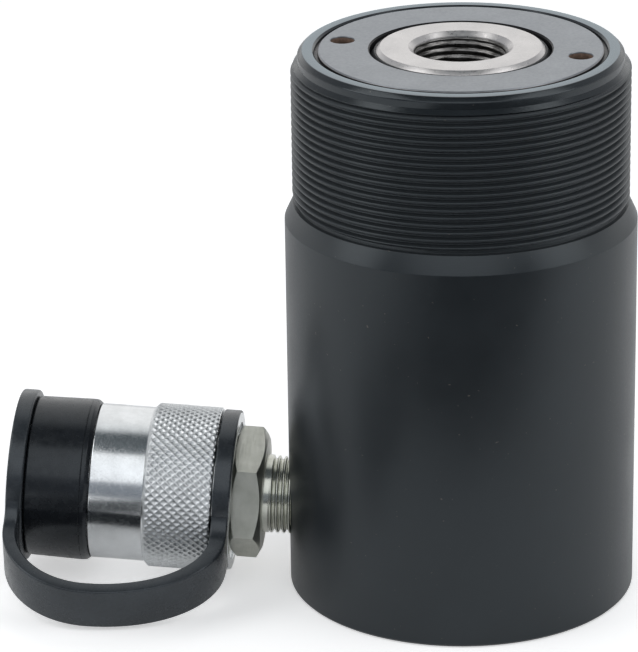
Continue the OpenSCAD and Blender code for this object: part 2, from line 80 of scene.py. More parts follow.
# Barrel, from the base up
BARREL_R, BARREL_H = 36.6, 118.0
BASE_CHAMFER, FOOT_CHAMFER = 0.6, 0.4
SHOULDER_Z, SHOULDER_TOP_R = 81.8, 34.85
RELIEF_R, RELIEF_Z, RELIEF_TOP_Z = 33.95, 85.5, 86.2
COLLAR_R, COLLAR_Z, COLLAR_TOP_Z = 34.925, 86.9, 114.2
RIM_R, RIM_Z, RIM_CHAMFER, RIM_ROUND = 33.5, 115.6, 0.95, 0.5
LEAD_IN_R, LEAD_IN_Z = 34.4, 114.75
COLLAR_PITCH, COLLAR_DEPTH, COLLAR_STEPS = 25.4 / 16, 0.97, 17
BORE_R, FLOOR_Z = 27.0, 20.0
GLAND_BORE_R, GLAND_Z, GLAND_BORE_CHAMFER = 30.05, 102.0, 0.4
TUBE_BORE_R, FOOT_BORE_R, FOOT_TOP_Z = 12.75, 14.55, 11.3
TUBE_RING_R, TUBE_RING_Z, TUBE_RING_L = 14.7, 14.45, 2.4
BASE_HOLE_R, BASE_HOLE_L, BASE_HOLE_PITCH, BASE_PCD = 3.4, 11.0, 1.25, 50.8
BASE_HOLE_LIP, BASE_THREAD_SHARE = 0.35, 0.08
DRILL_TIP_SHARE = 0.6

# Gland nut
GLAND_R, GLAND_FACE_R, GLAND_STEP, GLAND_CHAMFER = 30.0, 29.3, 0.9, 0.3
SKIRT_R, SKIRT_IN_R, SKIRT_Z = 26.95, 24.95, 82.3
GLAND_IN_R, WIPER_SEAT_R, WIPER_SEAT_Z, SEAT_CHAMFER = 17.45, 18.7, 112.55, 0.3
SPANNER_PCD, SPANNER_R, SPANNER_L, SPANNER_TURN, SPANNER_LIP = 50.0, 2.5, 7.0, -10, 0.15

# Plunger
PLUNGER_R, PLUNGER_TOP, CROWN_CHAMFER = 17.4, 118.4, 0.8
HEAD_R, HEAD_Z, HEAD_TOP = 26.9, 24.0, 40.0
SPIGOT_R = 24.0
PLUNGER_BORE_R, CROWN_Z = 12.75, 100.4
CROWN_CORE_R, CROWN_MOUTH_R, CROWN_PITCH, CROWN_DEPTH = 9.2, 10.75, 1.5, 0.42
CROWN_MOUTH_Z = PLUNGER_TOP - (CROWN_MOUTH_R - CROWN_CORE_R)
# Tears in the crown's thread: share of its depth, waves round the bore, phase per millimetre of height
CROWN_TEARS = ((0.08, 9, 2.1), (0.05, 17, -3.3))
SEAL_Z, SEAL_TOP_Z, BAND_Z, BAND_TOP_Z = 26.0, 32.0, 34.0, 38.0
PISTON_SEAL_R, PISTON_BAND_R, BORE_SEAL_R, BORE_BAND_R = 22.6, 25.5, 16.15, 14.25

# Return spring
SPRING_R, SPRING_WIRE, SPRING_TURNS = 21.175, 3.6, 5

# Coupler body, by distance along the coupler from the barrel's wall
NIPPLE_IN, NIPPLE_R, NIPPLE_TAPER, PORT_GAP = 8.4, 8.4, 1 / 32, 0.05
NIPPLE_PITCH, NIPPLE_DEPTH, NIPPLE_PLAIN = 25.4 / 19, 0.75, 1.3
HEX_U, HEX_END, HEX_AF, HEX_TURN, HEX_STEP, HEX_ROW = 5.3, 12.0, 25.0, 10, 0.6, 0.12
NIPPLE_SMALL_R = NIPPLE_R - (NIPPLE_IN + HEX_U) * NIPPLE_TAPER
NECK_R, NOSE_R, NOSE_U, NOSE_END = 10.8, 9.6, 25.15, 41.65
SNAP_U, SNAP_L, SNAP_R = 21.6, 1.6, 9.8
NOSE_RING_U, NOSE_RING_L, NOSE_RING_R = 34.6, 2.4, 7.7
CHAMBER_R, CHAMBER_U, PASSAGE_R = 6.0, 17.116, 3.0

# Check spring
CHECK_R, CHECK_WIRE, CHECK_TURNS = 3.4, 0.9, 5
CHECK_U, CHECK_END, BALL_STROKE = 19.116, 31.116, 3.0

# Sleeve
FLANGE_R, FLANGE_U, GROOVE_R, GROOVE_U = 16.85, 11.5, 14.6, 12.75
RECESS_R, RECESS_U = 14.73, 12.3
GRIP_R, GRIP_U, GRIP_CHAMFER, GRIP_REAR = 17.55, 15.6, 0.9, 0.35
FRONT_R, FRONT_U, FRONT_STEP, SLEEVE_EDGE = 16.55, 30.05, 0.1, 0.3
CAP_SEAT_R, CAP_SEAT_U, SLEEVE_END = 14.9, 41.6, 51.85
WEB_R, WEB_U = 10.85, 21.5
SOCKET_R, SOCKET_PITCH, SOCKET_DEPTH, SOCKET_STEPS = 12.6, 25.4 / 18, 0.7, 8
SOCKET_PLAIN, SOCKET_CHAMFER = 4.0, 0.9
KNURL_COUNT, KNURL_PITCH, KNURL_DEPTH, KNURL_STEPS = 62, 1.94, 0.4, 10
# Where a pit's floor ends and a ridge's top starts, as shares of the way from pit to ridge
PIT_SHARE, RIDGE_SHARE = 0.35, 0.95

# Dust cap and strap
CAP_RIM_R, CAP_END_R, CAP_U, CAP_END = 17.3, 17.05, 41.75, 55.2
CAP_LIP_R, CAP_LIP_L, CAP_LIP_SLOPE, CAP_GROOVE = 16.6, 1.5, 0.1, 0.14
CAP_BORE_R, CAP_FLOOR = 15.2, 52.3
STEM_HOLE_R, STEM_U = 4.05, 53.2
PLATE_R, PLATE_U, PLATE_END, PLATE_EDGE = 18.3, 55.35, 58.85, 0.45
BUTTON_SEAT_R, BUTTON_SEAT_U, STEM_GAP_R = 8.3, 57.05, 4.3
BUTTON_R, BUTTON_U, BUTTON_END, BUTTON_STEM_R, BUTTON_SLOPE = 8.0, 57.2, 58.7, 4.0, 0.6
DISH_R, DISH_DEPTH = 5.6, 0.35
EYELET_R, EYELET_IN_R, EYELET_U, EYELET_END, EYELET_EDGE = 17.25, 14.9, 12.9, 15.2, 0.3
EYELET_LIP_U, EYELET_LIP_IN_R, EYELET_BARE = 11.65, 16.95, 25
STRAP_W, STRAP_T, STRAP_LEAN, STRAP_SWELL, STRAP_EDGE = 10.7, 2.8, 68, 0.37, 0.4
LOOP_APEX_U, LOOP_REACH, LOOP_LEG_START, LOOP_INSET = 39.5, 37.75, 15.6, 0.12
LOOP_FAR_RISE, LOOP_NEAR_RISE, LOOP_ARC_POINTS, LEG_ROW = 16.0, 16.8, 33, 0.4
GUSSET_R, SWELL_REACH, STRETCH_START = 6.0, 36.0, 2.0

# Studio: tone of the room by the angle from the front horizon, over the top, to the back horizon
WHITE = (1.0, 1.0, 1.0)
SKY_BANDS = (
    (0, (0.2, 0.22, 0.25)), (38, (0.3, 0.33, 0.37)), (62, (0.2, 0.22, 0.24)), (72, (0.1, 0.115, 0.125)),
    (98, (0.07, 0.085, 0.095)), (108, (0.75, 0.77, 0.78)), (125, WHITE))
# Dimmer room at the upper left and right, by how far a direction points aside and up
CORNER_TONE, CORNER_ASIDE, CORNER_ABOVE = (0.42, 0.43, 0.45), (0.22, 0.42), (0.2, 0.4)
FLOOR_HALF_M, FLOOR_DROP_M, FLOOR_TONE = 8.0, 0.0001, (0.95, 0.95, 0.95)
FLOOR_GLOW, FLOOR_MIRRORED_GLOW = 0.45, 0.13
# Dark cards on the table, by two opposite corners in metres
FLAGS = (("front_flag", (-0.14, -1.6), (0.5, -0.132)), ("coupler_flag", (-0.14, -0.132), (-0.068, -0.062)))
FLAG_TONE, FLAG_LIFT_M = (0.05, 0.055, 0.06), 0.0005
MATT = 0.9
# Lamps: azimuth from the camera's side and elevation in degrees, width and height in metres, watts
SOFTBOXES = (
    ("front_softbox", 2, 43, 1.4, 0.97, 3.5),
    ("left_softbox", -72, 38, 0.7, 1.1, 4.2),
    ("right_softbox", 76, 38, 0.7, 1.1, 4.2))
LAMP_DISTANCE_M, LAMP_AIM_Z_M = 1.2, 0.06


# Placing

def coupler_matrix():
    """Frame of the coupler: Z runs outwards along its axis, X points up, and the unit is the metre."""
    joint = next(j for j in frame["joints"] if j["name"] == "sleeve_spin")
    outward = Vector(joint["axis"]).normalized()
    across = Vector((0, 1, 0))
    up = across.cross(outward)
    matrix = Matrix((up, across, outward)).transposed().to_4x4()
    matrix.translation = Vector(joint["pos_m"])
    return matrix


COUPLER = coupler_matrix()
UPRIGHT = Matrix.Identity(4)


# Mesh making

def rounded(corners, steps=4):
    """Outline of (x, y) corners, where a third value turns a corner into an arc of that radius."""
    outline = []
    count = len(corners)
    for i, corner in enumerate(corners):
        if len(corner) == 2:
            outline.append(corner)
            continue
        here, radius = Vector(corner[:2]), corner[2]
        before = (Vector(corners[i - 1][:2]) - here).normalized()
        after = (Vector(corners[(i + 1) % count][:2]) - here).normalized()
        half = before.angle(after) / 2
        run = radius / math.tan(half)
        centre = here + (before + after).normalized() * (radius / math.sin(half))
        first = here + before * run - centre
        last = here + after * run - centre
        sweep_angle = first.angle_signed(last)
        for k in range(steps + 1):
            turned = first.copy()
            turned.rotate(Matrix.Rotation(-sweep_angle * k / steps, 2))
            outline.append(tuple(centre + turned))
    return outline


def stretch(step, *corners):
    """Points along the lines between corners, no further apart than step, without the last corner."""
    line = []
    for start, end in zip(corners, corners[1:]):
        count = max(1, math.ceil(math.dist(start, end) / step))
        shares = [k / count for k in range(count)]
        line += [(start[0] + (end[0] - start[0]) * s, start[1] + (end[1] - start[1]) * s) for s in shares]
    return line


def ring_faces(a, b, count):
    """Faces between two rings of count points that start at points a and b."""
    return [(a + k, a + (k + 1) % count, b + (k + 1) % count, b + k) for k in range(count)]


def lathe(profile, segments, shape=None):
    """Points and faces of a closed (radius, height) profile turned about Z.
    A profile that starts and ends on the axis closes there. shape may change the radii."""
    rows = np.array(profile, float)
    turn = np.arange(segments) * FULL_TURN / segments
    radius = np.repeat(rows[:, :1], segments, axis=1)
    height = np.repeat(rows[:, 1:], segments, axis=1)
    if shape:
        radius = shape(radius, height, turn[None, :])
    points = np.stack([radius * np.cos(turn), radius * np.sin(turn), height], axis=-1)
    on_axis = profile[0][0] == 0
    last = len(rows) - 1 if on_axis else len(rows)
    faces = []
    for i in range(last):
        faces += ring_faces(i * segments, (i + 1) % len(rows) * segments, segments)
    return points.reshape(-1, 3), faces


def sweep(centres, sides, ups, sections):
    """Points and faces of sections of (side, up) points carried along a path, closed at both ends."""
    rings = np.array(sections, float)
    points = [c + ring[:, :1] * s + ring[:, 1:] * u for c, s, u, ring in zip(centres, sides, ups, rings)]
    count = rings.shape[1]
    faces = []
    end = (len(points) - 1) * count
    for a in range(0, end, count):
        faces += ring_faces(a, a + count, count)
    faces.append(tuple(range(count)))
    faces.append(tuple(end + k for k in range(count)))
    return np.concatenate(points), faces


def raw_object(name, points, faces, matrix=UPRIGHT):
    """New mesh object from millimetre points, with its faces outwards."""
    mesh = bpy.data.meshes.new(name)
    mesh.from_pydata((np.asarray(points) * MM).tolist(), [], faces)
    bm = bmesh.new()
    bm.from_mesh(mesh)
    bmesh.ops.remove_doubles(bm, verts=bm.verts, dist=WELD_M)
    bmesh.ops.recalc_face_normals(bm, faces=bm.faces)
    bm.to_mesh(mesh)
    bm.free()
    obj = bpy.data.objects.new(name, mesh)
    obj.matrix_world = matrix
    scene.collection.objects.link(obj)
    return obj


def turned_object(name, profile, segments, shape=None, matrix=UPRIGHT):
    """New mesh object turned from a profile."""
    return raw_object(name, *lathe(profile, segments, shape), matrix)


def combine(target, others, operation):
    """Cuts the others from the target or joins them to it, and removes them."""
    for other in others:
        modifier = target.modifiers.new("combine", "BOOLEAN")
        modifier.operation = operation
        modifier.solver = "EXACT"
        modifier.object = other
    bpy.context.view_layer.update()
    made = bpy.data.meshes.new_from_object(target.evaluated_get(bpy.context.evaluated_depsgraph_get()))
    target.modifiers.clear()
    old = target.data
    target.data = made
    bpy.data.meshes.remove(old)
    for other in others:
        bpy.data.objects.remove(other)


def shade(obj, crease, soft):
    """Smooth shading with edges over the crease angle sharp, but none where soft(radius, z) is true."""
    bm = bmesh.new()
    bm.from_mesh(obj.data)
    limit = math.radians(crease)
    for face in bm.faces:
        face.smooth = True
    for edge in bm.edges:
        sharp = edge.calc_face_angle(0) > limit
        if sharp and soft:
            x, y, z = (edge.verts[0].co + edge.verts[1].co) / (2 * MM)
            sharp = not soft(math.hypot(x, y), z)
        edge.smooth = not sharp
    bm.to_mesh(obj.data)
    bm.free()


def dress(obj, material, crease=30, soft=None):
    """Shades a piece and gives it its material."""
    shade(obj, crease, soft)
    obj.data.materials.clear()
    obj.data.materials.append(material)


# Threads

def thread_height(turns, crest=0.1, root=0.2):
    """Height from 0 in the root to 1 on the rounded crest of a thread, by turns along its axis."""
    slope = np.abs(2 * (turns - np.floor(turns)) - 1)
    share = np.clip((slope - root) / (1 - crest - root), 0, 1)
    return share * (3 - share ** 2) / 2


def outer_thread(radius, height, turn, pitch, depth):
    """Radius of a right hand outer thread cut into a turned surface."""
    return radius - depth * (1 - thread_height(height / pitch - turn / FULL_TURN))


def inner_thread(radius, height, turn, pitch, depth):
    """Radius of a right hand inner thread cut into a bore."""
    return outer_thread(radius, height, turn, pitch, -depth)


# Shader nodes

# Span that most of a noise pattern's values lie in
NOISE_SPAN = (0.3, 0.7)
# Colour sockets of the Mix node
MIX_A, MIX_B, MIX_RESULT = 6, 7, 2


class Nodes:
    """Short calls for the nodes of one shader tree."""

    def __init__(self, tree):
        self.tree = tree

    def feed(self, socket, value):
        """Links a socket to another one, or sets it to a constant."""
        if isinstance(value, bpy.types.NodeSocket):
            self.tree.links.new(value, socket)
        else:
            socket.default_value = value

    def node(self, kind, **inputs):
        made = self.tree.nodes.new(kind)
        for name, value in inputs.items():
            self.feed(made.inputs[name.replace("_", " ")], value)
        return made

    def math(self, operation, a, b=0.0):
        made = self.tree.nodes.new("ShaderNodeMath")
        made.operation = operation
        self.feed(made.inputs[0], a)
        self.feed(made.inputs[1], b)
        return made.outputs[0]

    def ranged(self, value, low, high, to_low=0.0, to_high=1.0):
        """Value that runs from to_low to to_high while another runs from low to high."""
        span = {"From_Min": low, "From_Max": high, "To_Min": to_low, "To_Max": to_high}
        return self.node("ShaderNodeMapRange", Value=value, **span).outputs["Result"]

    def mixed(self, share, a, b, blend="MIX"):
        """Colour between two colours, each given as (r, g, b) or as a socket."""
        made = self.tree.nodes.new("ShaderNodeMix")
        made.data_type = "RGBA"
        made.blend_type = blend
        self.feed(made.inputs["Factor"], share)
        for socket, value in ((made.inputs[MIX_A], a), (made.inputs[MIX_B], b)):
            self.feed(socket, value if isinstance(value, bpy.types.NodeSocket) else (*value, 1))
        return made.outputs[MIX_RESULT]


class Surface(Nodes):
    """A material with one Principled shader, whose patterns are placed in the piece's own frame."""

    def __init__(self, name, colour, roughness, metallic=0.0, **sockets):
        self.material = bpy.data.materials.new(name)
        self.material.use_nodes = True
        super().__init__(self.material.node_tree)
        self.shader = self.tree.nodes["Principled BSDF"]
        self.place = self.node("ShaderNodeTexCoord").outputs["Object"]
        self.normal = None
        self.set("Base Color", (*colour, 1))
        self.set("Roughness", roughness)
        self.set("Metallic", metallic)
        for socket, value in sockets.items():
            self.set(socket.replace("_", " "), value)

    def set(self, socket, value):
        """Sets a socket of the shader to a constant or feeds it from a node."""
        self.feed(self.shader.inputs[socket], value)

    def scaled_place(self, x, y, z):
        made = self.tree.nodes.new("ShaderNodeVectorMath")
        made.operation = "MULTIPLY"
        self.feed(made.inputs[0], self.place)
        self.feed(made.inputs[1], (x, y, z))
        return made.outputs[0]

    def noise(self, size_mm, detail=3.0, rough=0.55, stretched=(1, 1, 1)):
        """Noise whose features are about size_mm across, times stretched on each axis."""
        per_metre = 1 / (size_mm * MM)
        place = self.scaled_place(*[per_metre / s for s in stretched])
        made = self.node("ShaderNodeTexNoise", Vector=place, Scale=1.0, Detail=detail, Roughness=rough)
        return made.outputs["Fac"]

    def radius(self):
        """Distance from the piece's own Z axis, in metres."""
        made = self.tree.nodes.new("ShaderNodeVectorMath")
        made.operation = "LENGTH"
        self.feed(made.inputs[0], self.scaled_place(1, 1, 0))
        return made.outputs["Value"]

    def height(self):
        """Place along the piece's own Z axis, in metres."""
        return self.node("ShaderNodeSeparateXYZ", Vector=self.place).outputs["Z"]

    def by_radius(self, low, high, to_low=0.0, to_high=1.0):
        """Value that changes between two distances from the axis in millimetres."""
        return self.ranged(self.radius(), low * MM, high * MM, to_low, to_high)

    def by_height(self, low, high, to_low=0.0, to_high=1.0):
        """Value that changes between two heights in millimetres."""
        return self.ranged(self.height(), low * MM, high * MM, to_low, to_high)

    def mottled(self, pattern, deep, pale, span=NOISE_SPAN):
        """Colour that wanders between two tones with a pattern."""
        return self.mixed(self.ranged(pattern, *span), deep, pale)

    def uneven(self, pattern, low, high):
        """Value that wanders between two levels with a pattern."""
        return self.ranged(pattern, *NOISE_SPAN, low, high)

    def bump(self, height, depth_mm):
        """Adds relief of about depth_mm on top of what is there."""
        made = self.node("ShaderNodeBump", Height=height, Strength=1.0, Distance=depth_mm * MM)
        if self.normal:
            self.feed(made.inputs["Normal"], self.normal)
        self.normal = made.outputs["Normal"]
        self.set("Normal", self.normal)

    def lines(self, along, pitch_mm, wander):
        """Fine tool marks: a wave of the given pitch along a measure in metres, made uneven by noise."""
        wave = self.math("MULTIPLY", along, FULL_TURN / (pitch_mm * MM))
        drift = self.math("MULTIPLY", self.noise(0.9, 2.0), wander)
        return self.math("SINE", self.math("ADD", wave, drift))


def toned(colour, share):
    """A colour times a share, no brighter than white."""
    return tuple(min(1.0, c * share) for c in colour)


# Materials

GAP_SHADE_BLACK = (0.012, 0.012, 0.013)


def black_oxide(name):
    """Satin black oxide on turned steel: blue grey, with soft mottling, fine turning marks and dust.
    The roots of the collar's thread are painted paler, as painted reflected light, and the top face is bare
    ground steel."""
    deep, pale = (0.0085, 0.0105, 0.0125), (0.0145, 0.0175, 0.0205)
    dusty, root_painted_light, bare_tone = (0.09, 0.08, 0.07), (0.026, 0.0295, 0.0325), (0.216, 0.223, 0.231)
    made = Surface(name, (0.011, 0.0135, 0.016), 0.34, IOR=1.55, Specular_Tint=(0.86, 0.95, 1.0, 1.0))
    cloud = made.noise(22, 4.0)
    grain = made.noise(0.5, 2.0)
    dust = made.ranged(made.noise(0.8, 1.0, stretched=(1, 1, 0.8)), 0.77, 0.8)
    wall = made.mixed(dust, made.mottled(cloud, deep, pale), dusty)
    # Painted light: the thread's roots get a paler tone that stands in for light reflected in them.
    in_root = made.by_radius(COLLAR_R - 0.45, COLLAR_R - 0.1, 1, 0)
    off_rim = made.by_height(COLLAR_TOP_Z, LEAD_IN_Z, 1, 0)
    outside = made.by_radius(RIM_R - 0.4, RIM_R - 0.1)
    root = made.math("MULTIPLY", made.math("MULTIPLY", in_root, off_rim), outside)
    bare = made.by_height(BARREL_H - 0.06, BARREL_H - 0.02)
    made.set("Base Color", made.mixed(bare, made.mixed(root, wall, root_painted_light), bare_tone))
    made.set("Metallic", bare)
    rim_gloss = made.by_height(COLLAR_TOP_Z, LEAD_IN_Z, 0, 0.14)
    patchy = made.math("ADD", cloud, made.math("MULTIPLY", grain, 0.5))
    made.set("Roughness", made.math("SUBTRACT", made.ranged(patchy, 0.4, 1.0, 0.27, 0.4), rim_gloss))
    made.bump(made.lines(made.height(), 0.22, 5.0), 0.0006)
    made.bump(made.lines(made.radius(), 0.22, 5.0), 0.001)
    made.bump(grain, 0.0012)
    return made.material


def turned_metal(name, colour, roughness, ring_mm, depth_mm):
    """Faced metal with concentric tool rings and a faint cloudy tone."""
    made = Surface(name, colour, roughness, 1.0)
    made.set("Base Color", made.mottled(made.noise(9, 4.0), toned(colour, 0.86), toned(colour, 1.13)))
    made.set("Roughness", made.uneven(made.noise(0.6), roughness - 0.05, roughness + 0.07))
    made.bump(made.lines(made.radius(), ring_mm, 3.0), depth_mm)
    made.bump(made.lines(made.height(), ring_mm, 3.0), depth_mm)
    return made.material


def gland_steel(name):
    """Blue grey phosphated face with faint turning rings and rusty drillings, painted darker deeper down as
    painted shade, and edges painted black as painted shade at the gaps to the wiper and the barrel's rim.
    """
    made = Surface(name, (0.28, 0.298, 0.32), 0.36, 1.0)
    face = made.mottled(made.noise(9, 4.0), (0.262, 0.279, 0.3), (0.295, 0.313, 0.336))
    # Painted shade: the rust in the spanner holes is darker the deeper it lies.
    lit = made.by_height(BARREL_H - 1.9, BARREL_H - 0.5, 0.2, 1.1)
    rust_and_painted_shade = made.math("MULTIPLY", made.noise(0.9), lit)
    rust_with_painted_shade = made.mixed(rust_and_painted_shade, (0.02, 0.014, 0.012), (0.42, 0.28, 0.21))
    below = made.by_height(BARREL_H - 0.4, BARREL_H - 0.15, 1, 0)
    # Painted shade: the wiper seat's edge and the rim of the face are painted black where the gaps to the
    # wiper and the barrel's rim lie.
    seat = made.by_radius(WIPER_SEAT_R + SEAT_CHAMFER - 0.04, WIPER_SEAT_R + SEAT_CHAMFER, 1, 0)
    slit = made.by_radius(GLAND_FACE_R - 0.06, GLAND_FACE_R - 0.02)
    painted_gap_shade = made.math("MAXIMUM", seat, slit)
    made.set("Base Color", made.mixed(painted_gap_shade, made.mixed(below, face, rust_with_painted_shade), GAP_SHADE_BLACK))
    made.set("Metallic", made.math("SUBTRACT", 1.0, below))
    made.set("Roughness", made.uneven(made.noise(0.6), 0.31, 0.43))
    made.bump(made.lines(made.radius(), 0.3, 3.0), 0.001)
    return made.material


def plunger_steel(name):
    """Ground steel, with a rough cut thread in the crown's bore that is painted darker as painted shade
    inside the bore, with random streaks.
    """
    made = Surface(name, (0.63, 0.61, 0.6), 0.3, 1.0)
    face = made.mottled(made.noise(9, 4.0), (0.56, 0.545, 0.54), (0.68, 0.66, 0.65))
    streak = made.noise(1.0, 5.0, 0.65, (3.0, 3.0, 0.45))
    # Painted shade: the bore's thread is much darker than the face, standing in for the shade inside the
    # bore.
    bore = made.mottled(streak, (0.05, 0.047, 0.045), (0.3, 0.293, 0.285), (0.36, 0.62))
    within = made.by_radius(CROWN_MOUTH_R + 0.3, CROWN_MOUTH_R + 0.6, 1, 0)
    below = made.by_height(CROWN_MOUTH_Z + 0.4, CROWN_MOUTH_Z + 0.65, 1, 0)
    threaded = made.math("MULTIPLY", within, below)
    made.set("Base Color", made.mixed(threaded, face, bore))
    made.set("Roughness", made.uneven(made.noise(0.6), 0.26, 0.38))
    made.bump(made.lines(made.radius(), 0.18, 3.0), 0.0008)
    made.bump(made.math("MULTIPLY", streak, threaded), 0.06)
    return made.material


def plated(name, colour, roughness, blotch_mm, grain_mm):
    """Bright electroplate over turned steel: blotchy reflections from a fine uneven surface."""
    made = Surface(name, colour, roughness, 1.0)
    made.set("Base Color", made.mottled(made.noise(blotch_mm, 4.0), toned(colour, 0.9), toned(colour, 1.08)))
    made.set("Roughness", made.uneven(made.noise(grain_mm), roughness - 0.05, roughness + 0.1))
    made.bump(made.noise(grain_mm), 0.004)
    made.bump(made.lines(made.height(), 0.16, 4.0), 0.0008)
    return made.material


def knurled_zinc(name, colour):
    """Bright zinc plate, smooth on the turned faces and duller on the rolled knurl, most in its pits."""
    made = Surface(name, colour, 0.17, 1.0)
    made.set("Base Color", made.mottled(made.noise(5, 4.0), toned(colour, 0.9), toned(colour, 1.08)))
    grain = made.noise(0.45)
    behind = made.by_height(FRONT_U - 0.4, FRONT_U, 1, 0)
    ahead = made.by_height(GRIP_U, GRIP_U + 0.4)
    outside = made.by_radius(FRONT_R - 0.4, FRONT_R)
    rolled = made.math("MULTIPLY", made.math("MULTIPLY", behind, ahead), outside)
    dullness = made.by_radius(GRIP_R - KNURL_DEPTH, GRIP_R, 0.3, 0.12)
    smooth = made.uneven(grain, 0.12, 0.27)
    made.set("Roughness", made.math("ADD", smooth, made.math("MULTIPLY", rolled, dullness)))
    made.bump(grain, 0.004)
    made.bump(made.lines(made.height(), 0.16, 4.0), 0.0008)
    return made.material


def satin_nickel(name):
    """Milled and satin plated steel, with short marks across the piece's axis and a brighter thread."""
    made = Surface(name, (0.56, 0.57, 0.52), 0.4, 1.0)
    streak = made.noise(0.7, stretched=(5, 5, 0.35))
    made.set("Base Color", made.mottled(made.noise(3.5), (0.5, 0.51, 0.455), (0.64, 0.645, 0.59)))
    milled = made.by_height(HEX_U - 0.2, HEX_U, 0.45, 1)
    made.set("Roughness", made.math("MULTIPLY", made.uneven(streak, 0.34, 0.5), milled))
    made.bump(streak, 0.006)
    return made.material


def moulded(name, colour, roughness, grain_mm, depth_mm, ior=1.5):
    """Moulded rubber or plastic: an even dark tone with a faint bloom and a fine skin."""
    made = Surface(name, colour, roughness, IOR=ior, Specular_Tint=(0.88, 0.95, 1.0, 1.0))
    made.set("Base Color", made.mottled(made.noise(7, 4.0), toned(colour, 0.8), toned(colour, 1.3)))
    made.set("Roughness", made.uneven(made.noise(1.6), roughness - 0.05, roughness + 0.08))
    made.bump(made.noise(grain_mm, 2.0), depth_mm)
    return made.material


def spring_wire(name):
    """Drawn spring wire with an oily dark skin."""
    made = Surface(name, (0.16, 0.16, 0.17), 0.32, 1.0)
    stain = made.noise(2.5)
    made.set("Base Color", made.mottled(stain, (0.1, 0.1, 0.11), (0.22, 0.215, 0.21), (0.35, 0.65)))
    made.set("Roughness", made.uneven(stain, 0.25, 0.45))
    return made.material


BLACK_OXIDE = black_oxide("black_oxide")
GLAND_GREY = gland_steel("gland_grey")
GROUND_STEEL = plunger_steel("ground_steel")
HONED_STEEL = turned_metal("honed_steel", (0.55, 0.56, 0.57), 0.3, 0.25, 0.0008)
BRIGHT_ZINC = knurled_zinc("bright_zinc", (0.78, 0.8, 0.81))
NICKEL = satin_nickel("satin_nickel")
POLISHED = plated("polished_steel", (0.74, 0.74, 0.75), 0.1, 4.0, 0.8)
BRASS = turned_metal("turned_brass", (0.62, 0.47, 0.2), 0.3, 0.2, 0.0008)
WIRE = spring_wire("spring_wire")
NITRILE = moulded("nitrile", (0.016, 0.016, 0.017), 0.5, 0.3, 0.002)
SEAL_BLUE = moulded("seal_polyurethane", (0.02, 0.07, 0.16), 0.35, 0.5, 0.001)
BACKUP_WHITE = moulded("backup_plastic", (0.72, 0.7, 0.64), 0.45, 0.4, 0.001)
BAND_BROWN = moulded("wear_band_resin", (0.2, 0.08, 0.03), 0.55, 0.25, 0.003)
CAP_BLACK = moulded("cap_plastic", (0.01, 0.0115, 0.014), 0.24, 0.5, 0.0005)
STRAP_BLACK = moulded("strap_rubber", (0.0235, 0.0275, 0.032), 0.25, 0.35, 0.001, 1.58)


# Pieces of the cylinder

def barrel_profile():
    """Closed outline of the barrel, with fine rows over the collar's thread."""
    row = COLLAR_PITCH / COLLAR_STEPS
    bore_edge_r = GLAND_BORE_R + GLAND_BORE_CHAMFER
    ring_top = TUBE_RING_Z + TUBE_RING_L
    low = rounded([
        (FOOT_BORE_R, FLOOR_Z), (FOOT_BORE_R, FOOT_CHAMFER), (FOOT_BORE_R + FOOT_CHAMFER, 0),
        (BARREL_R - BASE_CHAMFER, 0, 0.25), (BARREL_R, BASE_CHAMFER, 0.25),
        (BARREL_R, SHOULDER_Z, 0.3), (SHOULDER_TOP_R, RELIEF_Z, 0.12), (RELIEF_R, RELIEF_Z + 0.05, 0.1),
        (RELIEF_R, RELIEF_TOP_Z)])[1:-1]
    lead_in = (LEAD_IN_R, LEAD_IN_Z)
    thread = stretch(
        row, (RELIEF_R, RELIEF_TOP_Z), (COLLAR_R, COLLAR_Z), (COLLAR_R, COLLAR_TOP_Z), lead_in) + [lead_in]
    top = rounded([
        lead_in, (RIM_R, RIM_Z), (RIM_R, BARREL_H - RIM_CHAMFER, RIM_ROUND),
        (RIM_R - RIM_CHAMFER, BARREL_H, RIM_ROUND), (bore_edge_r, BARREL_H, 0.1),
        (GLAND_BORE_R, BARREL_H - GLAND_BORE_CHAMFER), (GLAND_BORE_R, GLAND_Z), (BORE_R, GLAND_Z),
        (BORE_R, FLOOR_Z), (TUBE_BORE_R, FLOOR_Z), (TUBE_BORE_R, ring_top),
        (TUBE_RING_R, ring_top), (TUBE_RING_R, TUBE_RING_Z), (TUBE_BORE_R, TUBE_RING_Z),
        (TUBE_BORE_R, FOOT_TOP_Z), (FOOT_BORE_R, FOOT_TOP_Z), (FOOT_BORE_R, 0)])[1:-1]
    return low + thread + top


def barrel_thread(radius, height, turn):
    """Cuts the collar's thread where the outline passes through it."""
    cut = outer_thread(COLLAR_R, height, turn, COLLAR_PITCH, COLLAR_DEPTH)
    on_collar = (height > RELIEF_TOP_Z - MARGIN) & (height < LEAD_IN_Z - MARGIN)
    return np.where(on_collar & (radius > GLAND_BORE_R + 2), np.minimum(radius, cut), radius)


def drill(name, radius, depth, mouth, matrix, lip, pitch=None):
    """Cutter for a blind hole down from the height mouth, with a left hand thread if it has a pitch."""
    wall = stretch(pitch / THREAD_STEPS, (radius, -lip), (radius, -depth)) if pitch else [(radius, -lip)]
    profile = [(0, OVERLAP), (radius + lip + OVERLAP, OVERLAP), (radius + lip, 0)]
    profile += wall + [(radius, -depth), (0, -depth - radius * DRILL_TIP_SHARE)]

    def tapped(r, height, turn):
        cut = inner_thread(r, height, -turn, pitch, BASE_THREAD_SHARE * radius)
        inside = (height < -lip - MARGIN) & (height > -depth + pitch) & (r > radius - MARGIN)
        return np.where(inside, cut, r)

    points, faces = lathe(profile, HOLE_SIDES, tapped if pitch else None)
    return raw_object(name, points + np.array((0, 0, mouth)), faces, matrix)


